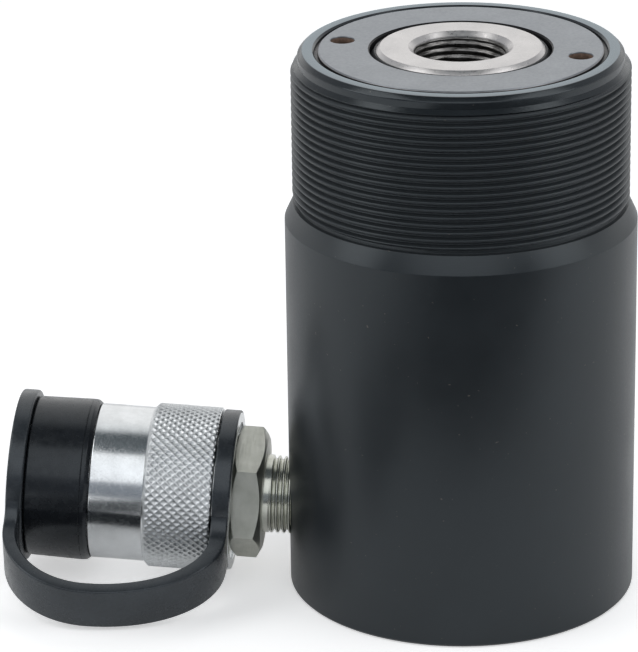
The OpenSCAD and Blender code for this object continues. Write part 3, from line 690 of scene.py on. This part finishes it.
def port_cutter():
    """Tapered port in the barrel's wall, which the nipple fills."""
    end = -NIPPLE_IN - PORT_GAP
    profile = [(0, end), (NIPPLE_SMALL_R + PORT_GAP, end), (NIPPLE_R + PORT_GAP, HEX_U), (0, HEX_U)]
    return turned_object("port_cutter", profile, PORT_SIDES, matrix=COUPLER)


def make_barrel():
    barrel = turned_object("barrel_turned", barrel_profile(), BARREL_SIDES, barrel_thread)
    flip = Matrix.Rotation(math.pi, 4, "X")
    cutters = [port_cutter()]
    for side in (-1, 1):
        place = Matrix.Translation((0, side * BASE_PCD / 2 * MM, 0)) @ flip
        cutters.append(drill(
            "base_hole", BASE_HOLE_R, BASE_HOLE_L, 0, place, BASE_HOLE_LIP, BASE_HOLE_PITCH))
    combine(barrel, cutters, "DIFFERENCE")
    dress(barrel, BLACK_OXIDE, 28,
          lambda r, z: RELIEF_TOP_Z < z < LEAD_IN_Z - 0.05 and r > GLAND_BORE_R + 2)
    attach(barrel, "cylinder")
    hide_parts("barrel")


def make_gland():
    step_z = BARREL_H - GLAND_STEP
    profile = rounded([
        (GLAND_R, GLAND_Z), (GLAND_R, step_z), (GLAND_FACE_R, step_z),
        (GLAND_FACE_R, BARREL_H - GLAND_CHAMFER), (GLAND_FACE_R - GLAND_CHAMFER, BARREL_H),
        (WIPER_SEAT_R + SEAT_CHAMFER, BARREL_H, 0.1), (WIPER_SEAT_R, BARREL_H - SEAT_CHAMFER),
        (WIPER_SEAT_R, WIPER_SEAT_Z), (GLAND_IN_R, WIPER_SEAT_Z), (GLAND_IN_R, GLAND_Z),
        (SKIRT_IN_R, GLAND_Z), (SKIRT_IN_R, SKIRT_Z), (SKIRT_R, SKIRT_Z), (SKIRT_R, GLAND_Z)])
    gland = turned_object("gland_nut_turned", profile, RING_SIDES)
    cutters = []
    for half_turn in (0, 180):
        angle = math.radians(SPANNER_TURN + half_turn)
        at = Vector((math.cos(angle), math.sin(angle), 0)) * (SPANNER_PCD / 2 * MM)
        cutters.append(drill(
            "spanner_hole", SPANNER_R, SPANNER_L, BARREL_H, Matrix.Translation(at), SPANNER_LIP))
    combine(gland, cutters, "DIFFERENCE")
    dress(gland, GLAND_GREY)
    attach(gland, "cylinder")
    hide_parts("gland_nut")


def plunger_thread(radius, height, turn):
    """Cuts the crown's inner thread into its bore, with a torn, uneven depth."""
    torn = 1
    for share, waves, phase in CROWN_TEARS:
        torn = torn - share * (1 - np.sin(waves * turn + phase * height))
    cut = inner_thread(CROWN_CORE_R, height, turn, CROWN_PITCH, CROWN_DEPTH * torn)
    inside = (height > CROWN_Z + 0.05) & (height < PLUNGER_TOP - 0.4) & (radius < CROWN_MOUTH_R)
    return np.where(inside, np.maximum(radius, cut), radius)


def make_plunger():
    row = CROWN_PITCH / THREAD_STEPS
    mouth = (CROWN_CORE_R, CROWN_MOUTH_Z)
    outside = rounded([
        (PLUNGER_BORE_R, FLOOR_Z), (SPIGOT_R, FLOOR_Z, 0.4), (SPIGOT_R, HEAD_Z), (HEAD_R, HEAD_Z, 0.2),
        (HEAD_R, SEAL_Z), (PISTON_SEAL_R, SEAL_Z), (PISTON_SEAL_R, SEAL_TOP_Z),
        (HEAD_R, SEAL_TOP_Z), (HEAD_R, BAND_Z), (PISTON_BAND_R, BAND_Z),
        (PISTON_BAND_R, BAND_TOP_Z), (HEAD_R, BAND_TOP_Z), (HEAD_R, HEAD_TOP, 0.2),
        (PLUNGER_R, HEAD_TOP, 0.4), (PLUNGER_R, PLUNGER_TOP - CROWN_CHAMFER, 0.15),
        (PLUNGER_R - CROWN_CHAMFER, PLUNGER_TOP, 0.15), (CROWN_MOUTH_R, PLUNGER_TOP, 0.12), mouth])[:-1]
    thread = stretch(row, outside[-1], mouth, (CROWN_CORE_R, CROWN_Z))
    inside = [(CROWN_CORE_R, CROWN_Z), (PLUNGER_BORE_R, CROWN_Z), (PLUNGER_BORE_R, BAND_TOP_Z),
              (BORE_BAND_R, BAND_TOP_Z), (BORE_BAND_R, BAND_Z), (PLUNGER_BORE_R, BAND_Z),
              (PLUNGER_BORE_R, SEAL_TOP_Z), (BORE_SEAL_R, SEAL_TOP_Z), (BORE_SEAL_R, SEAL_Z),
              (PLUNGER_BORE_R, SEAL_Z)]
    profile = outside[:-1] + thread + inside
    plunger = turned_object("plunger_turned", profile, RING_SIDES, plunger_thread)
    dress(plunger, GROUND_STEEL, 28,
          lambda r, z: CROWN_Z + 0.2 < z < PLUNGER_TOP - 0.5 and r < CROWN_MOUTH_R)
    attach(plunger, "plunger")
    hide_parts("plunger")


def coil(name, radius, wire, turns, low, high, matrix):
    """Spring with closed ends between two heights."""
    pitch = (high - low - 3 * wire) / (turns - 2)
    t = np.linspace(0, turns, COIL_STEPS * turns + 1)
    rise = np.interp(t, [0, 1, turns - 1, turns], [0, wire, wire + pitch * (turns - 2), high - low - wire])
    angle = FULL_TURN * t
    outward = np.stack([np.cos(angle), np.sin(angle), 0 * t], axis=-1)
    centres = outward * radius
    centres[:, 2] = low + wire / 2 + rise
    around = np.arange(WIRE_SIDES) * FULL_TURN / WIRE_SIDES
    round_wire = np.stack([np.cos(around), np.sin(around)], axis=-1) * wire / 2
    ups = np.tile((0.0, 0.0, 1.0), (len(t), 1))
    return raw_object(name, *sweep(centres, outward, ups, [round_wire] * len(t)), matrix)


def make_springs():
    low, high = HEAD_TOP, GLAND_Z
    spring = coil("return_spring_coil", SPRING_R, SPRING_WIRE, SPRING_TURNS, low, high, UPRIGHT)
    dress(spring, WIRE, 50)
    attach(spring, "cylinder")
    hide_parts("return_spring")
    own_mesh(spring)
    check = coil("check_spring_coil", CHECK_R, CHECK_WIRE, CHECK_TURNS, CHECK_U, CHECK_END, COUPLER)
    dress(check, WIRE, 50)
    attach(check, "cylinder")
    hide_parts("check_spring")
    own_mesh(check)


# Pieces of the coupler

def coupler_shape(radius, height, turn):
    """Cuts the nipple's taper thread and the flats of the hex into the turned body."""
    thread = outer_thread(radius, height, turn, NIPPLE_PITCH, NIPPLE_DEPTH)
    threaded = (height > -NIPPLE_IN + 0.3) & (height < HEX_U - NIPPLE_PLAIN) & (radius > PASSAGE_R + 1)
    radius = np.where(threaded, thread, radius)
    sixth = FULL_TURN / 6
    from_flat = np.mod(turn - math.radians(HEX_TURN), sixth) - sixth / 2
    flat = HEX_AF / 2 / np.cos(from_flat)
    in_hex = (height > HEX_U - MARGIN) & (height < HEX_END + MARGIN) & (radius > NECK_R + 0.5)
    return np.where(in_hex, np.minimum(radius, flat), radius)


def make_coupler_body():
    row = NIPPLE_PITCH / THREAD_STEPS
    corner_r = HEX_AF / math.sqrt(3)
    face_r = HEX_AF / 2 - HEX_STEP
    slope = (corner_r - face_r) / 2
    nose_ring_end = NOSE_RING_U + NOSE_RING_L
    snap_end = SNAP_U + SNAP_L
    corner = (corner_r, HEX_U + slope)
    nipple = stretch(row, (NIPPLE_SMALL_R, -NIPPLE_IN), (NIPPLE_R, HEX_U))
    hex_face = [(NIPPLE_R, HEX_U)] + stretch(HEX_ROW, (face_r, HEX_U), corner) + [corner]
    hex_face += stretch(HEX_ROW, (corner_r, HEX_END - slope), (face_r, HEX_END))
    front = rounded([
        (face_r, HEX_END), (NECK_R, HEX_END, 0.15), (NECK_R, SNAP_U), (SNAP_R, SNAP_U),
        (SNAP_R, snap_end), (NECK_R, snap_end), (NECK_R, NOSE_U, 0.3), (NOSE_R, NOSE_U, 0.2),
        (NOSE_R, NOSE_RING_U), (NOSE_RING_R, NOSE_RING_U), (NOSE_RING_R, nose_ring_end),
        (NOSE_R, nose_ring_end), (NOSE_R, NOSE_END, 0.5), (CHAMBER_R, NOSE_END, 0.2),
        (CHAMBER_R, CHAMBER_U), (PASSAGE_R, CHAMBER_U), (PASSAGE_R, -NIPPLE_IN)])
    profile = nipple + hex_face + front
    body = turned_object("coupler_body_turned", profile, BODY_SIDES, coupler_shape, COUPLER)
    dress(body, NICKEL, 24, lambda r, z: z < HEX_U - 0.3 and r > PASSAGE_R + 1)
    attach(body, "cylinder")
    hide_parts("coupler_body")


def sleeve_shape(radius, height, turn):
    """Presses the pits of the diamond knurl into the grip."""
    across = turn * KNURL_COUNT / FULL_TURN
    along = (height - GRIP_U) / KNURL_PITCH
    first = np.abs(2 * np.mod(across + along, 1) - 1)
    second = np.abs(2 * np.mod(across - along, 1) - 1)
    lift = np.clip((np.maximum(first, second) - PIT_SHARE) / (RIDGE_SHARE - PIT_SHARE), 0, 1)
    on_grip = (height > GRIP_U + 0.02) & (height < FRONT_U - 0.02) & (radius > FRONT_R + 0.05)
    rolled = np.minimum(radius, GRIP_R - KNURL_DEPTH * (1 - lift))
    return np.where(on_grip, rolled, radius)


def socket_cutter():
    """Threaded socket of the sleeve, plain at its inner end and with a chamfered mouth."""
    row = SOCKET_PITCH / SOCKET_STEPS
    start = (SOCKET_R, WEB_U + SOCKET_PLAIN)
    lip = (SOCKET_R, SLEEVE_END - SOCKET_CHAMFER)
    mouth_r = SOCKET_R + SOCKET_CHAMFER
    over = SLEEVE_END + OVERLAP
    mouth = (mouth_r, SLEEVE_END)
    profile = [(0, WEB_U), (SOCKET_R, WEB_U)] + stretch(row, start, lip, mouth)
    profile += [mouth, (mouth_r, over), (0, over)]

    def tapped(radius, height, turn):
        cut = inner_thread(SOCKET_R, height, turn, SOCKET_PITCH, SOCKET_DEPTH)
        threaded = (height > WEB_U + SOCKET_PLAIN) & (height < SLEEVE_END)
        return np.where(threaded, np.maximum(radius, cut), radius)

    return turned_object("socket_cutter", profile, SMALL_SIDES, tapped, COUPLER)


def in_sleeve_relief(r, z):
    """True on the knurl and on the socket's thread, which have no sharp edges."""
    knurled = GRIP_U + 0.1 < z < FRONT_U - 0.1 and r > FRONT_R + 0.05
    tapped = WEB_U + SOCKET_PLAIN < z < SLEEVE_END - 0.4 and SOCKET_R - 0.1 < r < SOCKET_R + SOCKET_CHAMFER
    return knurled or tapped


def make_sleeve():
    row = KNURL_PITCH / KNURL_STEPS
    grip_points = [
        (GRIP_R - GRIP_REAR, GRIP_U), (GRIP_R, GRIP_U + GRIP_REAR), (GRIP_R, FRONT_U - GRIP_CHAMFER),
        (FRONT_R + FRONT_STEP, FRONT_U)]
    rear = rounded([
        (WEB_R, RECESS_U), (RECESS_R, RECESS_U), (RECESS_R, FLANGE_U, 0.1),
        (FLANGE_R, FLANGE_U, 0.3), (FLANGE_R, GROOVE_U, 0.3), (GROOVE_R, GROOVE_U, 0.1),
        (GROOVE_R, GRIP_U, 0.1), grip_points[0]])[:-1]
    front = rounded([
        grip_points[-1], (FRONT_R, FRONT_U + FRONT_STEP), (FRONT_R, CAP_SEAT_U, SLEEVE_EDGE),
        (CAP_SEAT_R, CAP_SEAT_U), (CAP_SEAT_R, SLEEVE_END, SLEEVE_EDGE), (WEB_R, SLEEVE_END)])
    profile = rear + stretch(row, *grip_points) + front
    sleeve = turned_object(
        "coupler_sleeve_turned", profile, KNURL_COUNT * KNURL_STEPS, sleeve_shape, COUPLER)
    combine(sleeve, [socket_cutter()], "DIFFERENCE")
    dress(sleeve, BRIGHT_ZINC, 28, in_sleeve_relief)
    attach(sleeve, "sleeve")
    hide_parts("coupler_sleeve")


def make_dust_cap():
    lip_end = CAP_U + CAP_LIP_L
    profile = rounded([
        (0, CAP_END), (CAP_END_R, CAP_END, 0.5), (CAP_RIM_R, lip_end + 2 * CAP_GROOVE, 0.05),
        (CAP_RIM_R - CAP_GROOVE, lip_end + CAP_GROOVE, 0.04), (CAP_RIM_R, lip_end, 0.05),
        (CAP_RIM_R - CAP_LIP_SLOPE, CAP_U + CAP_LIP_L / 2, 0.5), (CAP_LIP_R, CAP_U, 0.1),
        (CAP_BORE_R, CAP_U, 0.3), (CAP_BORE_R, CAP_FLOOR, 0.6), (0, CAP_FLOOR)], 6)
    cap = turned_object("dust_cap_moulded", profile, CAP_SIDES, matrix=COUPLER)
    over = CAP_END + OVERLAP
    hole = [(0, STEM_U), (STEM_HOLE_R, STEM_U), (STEM_HOLE_R, over), (0, over)]
    combine(cap, [turned_object("stem_hole", hole, HOLE_SIDES, matrix=COUPLER)], "DIFFERENCE")
    dress(cap, CAP_BLACK, 32)
    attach(cap, "dust_cap")
    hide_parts("dust_cap")


def make_button():
    """Snap button that holds the strap's plate on the cap, with a shallow dish in its head."""
    dish_u = BUTTON_END - DISH_DEPTH
    profile = rounded([
        (0, STEM_U), (BUTTON_STEM_R, STEM_U, 0.3), (BUTTON_STEM_R, BUTTON_U), (BUTTON_R, BUTTON_U, 0.1),
        (BUTTON_R, BUTTON_END - BUTTON_SLOPE, 0.2), (BUTTON_R - BUTTON_SLOPE, BUTTON_END, 0.3),
        (DISH_R, BUTTON_END, 0.3), (DISH_R - BUTTON_SLOPE, dish_u, 0.3), (0, dish_u)])
    button = turned_object("strap_button_moulded", profile, SMALL_SIDES, matrix=COUPLER)
    dress(button, CAP_BLACK, 40)
    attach(button, "dust_cap")
    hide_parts("strap_button")


def loop_path():
    """Centre line of the strap as (u, reach) points: two quarter ellipses and two straight legs."""
    far_u = PLATE_END - STRAP_T / 2 - LOOP_INSET
    near_u = EYELET_END - STRAP_T / 2 - STRAP_SWELL
    apex = LOOP_REACH - STRAP_T / 2
    far, near = [], []
    for angle in np.linspace(0, math.pi / 2, LOOP_ARC_POINTS):
        c, s = math.cos(angle), math.sin(angle)
        far.append((LOOP_APEX_U + (far_u - LOOP_APEX_U) * c, apex - LOOP_FAR_RISE * (1 - s)))
        near.append((LOOP_APEX_U + (near_u - LOOP_APEX_U) * s, apex - LOOP_NEAR_RISE * (1 - c)))
    far_leg = stretch(LEG_ROW, (far_u, LOOP_LEG_START), far[0])
    near_leg = stretch(LEG_ROW, (near_u, LOOP_LEG_START), near[-1])
    return far_leg + far + near[1:] + near_leg[::-1]


def leg_half_width(reach, disc_r):
    """Half the strap's width at a distance from the axis, widened in a fillet onto a disc."""
    side = STRAP_W / 2 + GUSSET_R
    fillet_end = math.sqrt((disc_r + GUSSET_R) ** 2 - side ** 2)
    fillet_start = fillet_end * disc_r / (disc_r + GUSSET_R)
    at = min(max(reach, fillet_start), fillet_end)
    return side - math.sqrt(GUSSET_R ** 2 - (fillet_end - at) ** 2)


def strap_section(u, reach):
    """Cross section of the strap at a point of its centre line, thicker towards the eyelet."""
    near = u < LOOP_APEX_U
    half_w = leg_half_width(reach, EYELET_R if near else PLATE_R)
    swell = min(max((SWELL_REACH - reach) / EYELET_R, 0), 1) if near else 0
    half_t = STRAP_T / 2 + STRAP_SWELL * swell
    corners = ((-1, -1), (1, -1), (1, 1), (-1, 1))
    return rounded([(side * half_w, up * half_t, STRAP_EDGE) for side, up in corners])


def make_band():
    """Band of the strap, swept along its loop, which leans forward from straight down."""
    path = np.array(loop_path())
    lean = math.radians(STRAP_LEAN)
    reach_way = np.array((-math.cos(lean), -math.sin(lean), 0))
    along_way = np.array((0, 0, 1.0))
    centres = path[:, :1] * along_way + path[:, 1:] * reach_way
    ahead = np.gradient(path, axis=0)
    ahead /= np.linalg.norm(ahead, axis=1, keepdims=True)
    normals = -ahead[:, 1:] * along_way + ahead[:, :1] * reach_way
    widths = np.tile(np.cross(along_way, reach_way), (len(path), 1))
    sections = [strap_section(u, reach) for u, reach in path]
    return raw_object("strap_moulded", *sweep(centres, widths, normals, sections), COUPLER)


def make_plate():
    """Round plate of the strap on the cap's closed end, with a seat for the button."""
    profile = rounded([
        (STEM_GAP_R, PLATE_U), (PLATE_R, PLATE_U, PLATE_EDGE), (PLATE_R, PLATE_END, PLATE_EDGE),
        (BUTTON_SEAT_R, PLATE_END, 0.2), (BUTTON_SEAT_R, BUTTON_SEAT_U), (STEM_GAP_R, BUTTON_SEAT_U)])
    return turned_object("plate", profile, PLATE_SIDES, matrix=COUPLER)


def make_eyelet():
    """Ring round the sleeve's groove that laps over the flange, drawn back from it at the very bottom."""
    core_r = EYELET_IN_R - OVERLAP
    points, faces = lathe(rounded([
        (core_r, EYELET_LIP_U), (EYELET_R, EYELET_LIP_U, EYELET_EDGE), (EYELET_R, EYELET_END, EYELET_EDGE),
        (core_r, EYELET_END)]), CAP_SIDES)
    off_bottom = np.degrees(np.abs(np.arctan2(points[:, 1], -points[:, 0])))
    share = np.clip((2 * EYELET_BARE - off_bottom) / EYELET_BARE, 0, 1)
    near_lip = points[:, 2] < EYELET_U
    points[:, 2] += np.where(near_lip, share * (EYELET_U - EYELET_LIP_U), 0)
    return raw_object("eyelet", points, faces, COUPLER)


def eyelet_bore():
    """Room for the sleeve's flange and groove inside the eyelet."""
    start, end = EYELET_LIP_U - OVERLAP, EYELET_END + OVERLAP
    profile = [(0, start), (EYELET_LIP_IN_R, start), (EYELET_LIP_IN_R, EYELET_U), (EYELET_IN_R, EYELET_U),
               (EYELET_IN_R, end), (0, end)]
    return turned_object("eyelet_bore", profile, CAP_SIDES, matrix=COUPLER)


def make_strap():
    """Strap with its eyelet round the sleeve's groove and its plate on the cap's closed end."""
    strap = make_band()
    combine(strap, [make_plate(), make_eyelet()], "UNION")
    combine(strap, [eyelet_bore()], "DIFFERENCE")
    dress(strap, STRAP_BLACK, 35)
    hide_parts("dust_cap_strap")
    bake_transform(strap)


# CAD nodes that show as they are

def dress_inner_nodes():
    for material, *nodes in (
            (HONED_STEEL, "center_tube"), (NITRILE, "center_tube_oring", "plunger_wiper", "nose_oring"),
            (SEAL_BLUE, "piston_u_cup", "bore_u_cup"), (BAND_BROWN, "piston_wear_band", "bore_wear_band"),
            (BACKUP_WHITE, "piston_backup_ring", "bore_backup_ring"), (NICKEL, "valve_seat"),
            (BRASS, "spring_retainer"), (POLISHED, "check_ball"), (WIRE, "sleeve_snap_ring")):
        for node in nodes:
            for one in frame["nodes"][node].material_slots:
                one.material = material


# Studio

def make_camera():
    pitch, yaw, roll = (math.radians(a) for a in (CAMERA_PITCH, CAMERA_YAW, CAMERA_ROLL))
    forward = Vector((-math.sin(yaw) * math.cos(pitch), math.cos(yaw) * math.cos(pitch), -math.sin(pitch)))
    level = Vector((math.cos(yaw), math.sin(yaw), 0))
    rise = level.cross(forward)
    right = level * math.cos(roll) + rise * math.sin(roll)
    up = rise * math.cos(roll) - level * math.sin(roll)
    data = bpy.data.cameras.new("photo_camera")
    data.sensor_width = SENSOR_MM
    data.lens = SENSOR_MM * FOCAL_PX / max(PHOTO_W, PHOTO_H)
    data.clip_start, data.clip_end = CLIP_NEAR_M, CLIP_FAR_M
    camera = bpy.data.objects.new("photo_camera", data)
    camera.matrix_world = Matrix((right, up, -forward)).transposed().to_4x4()
    camera.location = Vector(CAMERA_AT) * MM
    scene.collection.objects.link(camera)
    scene.camera = camera


def make_sheet(name, low, high, z, material):
    """Level rectangle between two corners, in metres."""
    mesh = bpy.data.meshes.new(name)
    corners = ((low[0], low[1]), (high[0], low[1]), (high[0], high[1]), (low[0], high[1]))
    mesh.from_pydata([(x, y, z) for x, y in corners], [], [(0, 1, 2, 3)])
    mesh.materials.append(material)
    sheet = bpy.data.objects.new(name, mesh)
    scene.collection.objects.link(sheet)
    return sheet


def make_floor():
    """White paper that glows for the camera and a little in mirror images."""
    paper = Surface("white_paper", FLOOR_TONE, MATT, Emission_Color=(*WHITE, 1))
    path = paper.node("ShaderNodeLightPath").outputs
    shown = paper.math("MULTIPLY", path["Is Camera Ray"], FLOOR_GLOW)
    mirrored = paper.math("MULTIPLY", path["Is Glossy Ray"], FLOOR_MIRRORED_GLOW)
    paper.set("Emission Strength", paper.math("ADD", shown, mirrored))
    low, high = (-FLOOR_HALF_M, -FLOOR_HALF_M), (FLOOR_HALF_M, FLOOR_HALF_M)
    make_sheet("floor", low, high, -FLOOR_DROP_M, paper.material)


def make_flag(name, low, high):
    """Dark card on the table, which only the shiny surfaces see."""
    flag = make_sheet(name, low, high, FLAG_LIFT_M, Surface(name, FLAG_TONE, MATT).material)
    flag.visible_camera = False
    flag.visible_diffuse = False
    flag.visible_shadow = False


def make_world():
    """White sweep behind the object, a dark ceiling and a dim, slightly blue room in front."""
    world = bpy.data.worlds.new("studio")
    scene.world = world
    world.use_nodes = True
    room = Nodes(world.node_tree)
    way = room.node("ShaderNodeTexCoord").outputs["Generated"]
    part = room.node("ShaderNodeSeparateXYZ", Vector=way).outputs
    over_top = room.math("ARCTAN2", part["Z"], room.math("MULTIPLY", part["Y"], -1.0))
    ramp = room.node("ShaderNodeValToRGB", Fac=room.math("DIVIDE", over_top, math.pi))
    bands = ramp.color_ramp.elements
    bands.remove(bands[1])
    bands[0].color = (*SKY_BANDS[0][1], 1)
    for degrees, colour in SKY_BANDS[1:]:
        bands.new(degrees / 180).color = (*colour, 1)
    aside = room.ranged(room.math("ABSOLUTE", part["X"]), *CORNER_ASIDE)
    above = room.ranged(part["Z"], *CORNER_ABOVE)
    corner = room.math("MULTIPLY", aside, above)
    tone = room.mixed(corner, ramp.outputs["Color"], CORNER_TONE, "MULTIPLY")
    path = room.node("ShaderNodeLightPath").outputs
    background = room.tree.nodes["Background"]
    room.feed(background.inputs["Color"], room.mixed(path["Is Camera Ray"], tone, WHITE))


def make_softbox(name, azimuth, elevation, width, height, watts):
    """Area lamp aimed at the object, placed by angles seen from it."""
    a, e = math.radians(azimuth), math.radians(elevation)
    way = Vector((math.sin(a) * math.cos(e), -math.cos(a) * math.cos(e), math.sin(e)))
    data = bpy.data.lights.new(name, "AREA")
    data.shape = "RECTANGLE"
    data.size, data.size_y = width, height
    data.energy = watts
    lamp = bpy.data.objects.new(name, data)
    lamp.location = Vector((0, 0, LAMP_AIM_Z_M)) + way * LAMP_DISTANCE_M
    lamp.rotation_euler = way.to_track_quat("Z", "Y").to_euler()
    scene.collection.objects.link(lamp)


make_camera()
make_barrel()
make_gland()
make_plunger()
make_springs()
make_coupler_body()
make_sleeve()
make_dust_cap()
make_button()
make_strap()
dress_inner_nodes()
make_floor()
for flag in FLAGS:
    make_flag(*flag)
make_world()
for lamp in SOFTBOXES:
    make_softbox(*lamp)
scene.view_settings.view_transform = "Standard"
